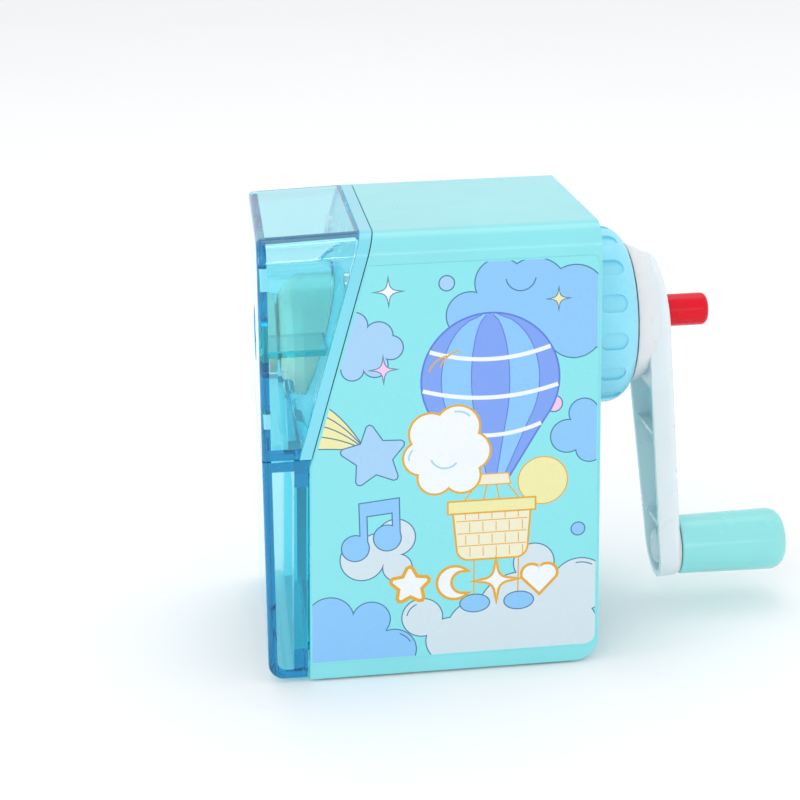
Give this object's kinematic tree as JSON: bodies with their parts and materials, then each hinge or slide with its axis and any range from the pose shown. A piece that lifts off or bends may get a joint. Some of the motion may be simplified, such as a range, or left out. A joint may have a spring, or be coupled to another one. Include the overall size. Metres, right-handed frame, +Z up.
{
  "type": "hand crank pencil sharpener",
  "caption": "Box-shaped desk pencil sharpener with clear front, pull-out shavings drawer, side crank and adjustable point.",
  "frame": {"origin": "on the table, under the middle of the body", "axes": "+Z up, -X towards the pencil mouth, +X towards the crank, Y across the body"},
  "size_m": [0.1249, 0.0604, 0.1],
  "materials": {
    "mint_shell": "gloss moulded ABS",
    "ice_frame": "gloss moulded ABS",
    "clear_blue": "clear tinted polystyrene",
    "guide_cream": "cream moulded plastic",
    "print_side": "printed film, cloud, star and balloon pattern",
    "ring_blue": "satin light blue plastic",
    "crank_white": "gloss white ABS",
    "grip_mint": "gloss mint plastic",
    "knob_red": "gloss red plastic",
    "base_grey": "fine textured mint plastic",
    "gear_white": "acetal",
    "rubber_dark": "fine textured rubber",
    "cutter_steel": "ground tool steel",
    "screw_steel": "zinc plated steel",
    "yoke_cast": "zinc die casting",
    "bush_brass": "turned brass"
  },
  "bodies": {
    "housing": {"main_housing": "mint_shell", "base_plate": "base_grey", "base_screw_1": "screw_steel", "base_screw_2": "screw_steel", "base_screw_3": "screw_steel", "base_screw_4": "screw_steel", "rubber_pad": "rubber_dark", "front_bezel": "ice_frame", "bezel_screw_1": "screw_steel", "bezel_screw_2": "screw_steel", "front_cover": "clear_blue", "pencil_guide": "guide_cream", "cover_latch_near": "clear_blue", "cover_latch_far": "clear_blue", "cover_snap_near_high": "ice_frame", "cover_snap_near_low": "ice_frame", "cover_snap_far_high": "ice_frame", "cover_snap_far_low": "ice_frame", "side_label_near": "print_side", "side_label_far": "print_side", "cartridge_sleeve": "gear_white", "bearing_bush": "bush_brass"},
    "drawer": {"drawer_body": "clear_blue"},
    "ring": {"lock_ring": "ring_blue"},
    "crank": {"crank_arm": "crank_white", "drive_shaft": "screw_steel", "shaft_clip": "screw_steel", "cutter_carrier": "yoke_cast", "cutter_axle": "screw_steel", "handle_pin": "crank_white", "return_spring": "screw_steel"},
    "cutter": {"helical_cutter": "cutter_steel", "cutter_pinion": "gear_white"},
    "handle": {"handle_grip": "grip_mint"},
    "ejector": {"adjuster_sleeve": "screw_steel"},
    "knob": {"adjuster_knob": "knob_red"},
    "stop": {"lead_stop_rod": "screw_steel"}
  },
  "joints": [
    {"name": "crank_turn", "type": "hinge", "parent": "housing", "child": "crank", "pos_m": [0.04, 0, 0.0724], "axis": [1, 0, 0], "continuous": true},
    {"name": "cutter_spin", "type": "hinge", "parent": "crank", "child": "cutter", "pos_m": [0.00969, 0, 0.07977], "axis": [0.9851, 0, -0.1718], "continuous": true},
    {"name": "handle_spin", "type": "hinge", "parent": "crank", "child": "handle", "pos_m": [0.07, 0, 0.0141], "axis": [1, 0, 0], "continuous": true},
    {"name": "knob_push", "type": "slide", "parent": "crank", "child": "ejector", "axis": [-1, 0, 0], "range_m": [0, 0.003], "stiffness_N_per_m": 300, "springref_m": -0.004, "deforming": ["return_spring"]},
    {"name": "knob_twist", "type": "hinge", "parent": "ejector", "child": "knob", "pos_m": [0.06, 0, 0.0724], "axis": [1, 0, 0], "range_deg": [-180, 180]},
    {"name": "stop_advance", "type": "slide", "parent": "ejector", "child": "stop", "axis": [1, 0, 0], "range_m": [-0.00074, 0.00074]},
    {"name": "ring_twist", "type": "hinge", "parent": "housing", "child": "ring", "pos_m": [0.042, 0, 0.0724], "axis": [1, 0, 0], "range_deg": [0, 30]},
    {"name": "drawer_slide", "type": "slide", "parent": "housing", "child": "drawer", "axis": [-1, 0, 0], "range_m": [0, 0.045]}
  ],
  "couplings": [
    {"joint": "cutter_spin", "follows": "crank_turn", "ratio": -3.3333},
    {"joint": "knob_twist", "follows": "stop_advance", "rad_per_m": 4188.8}
  ]
}
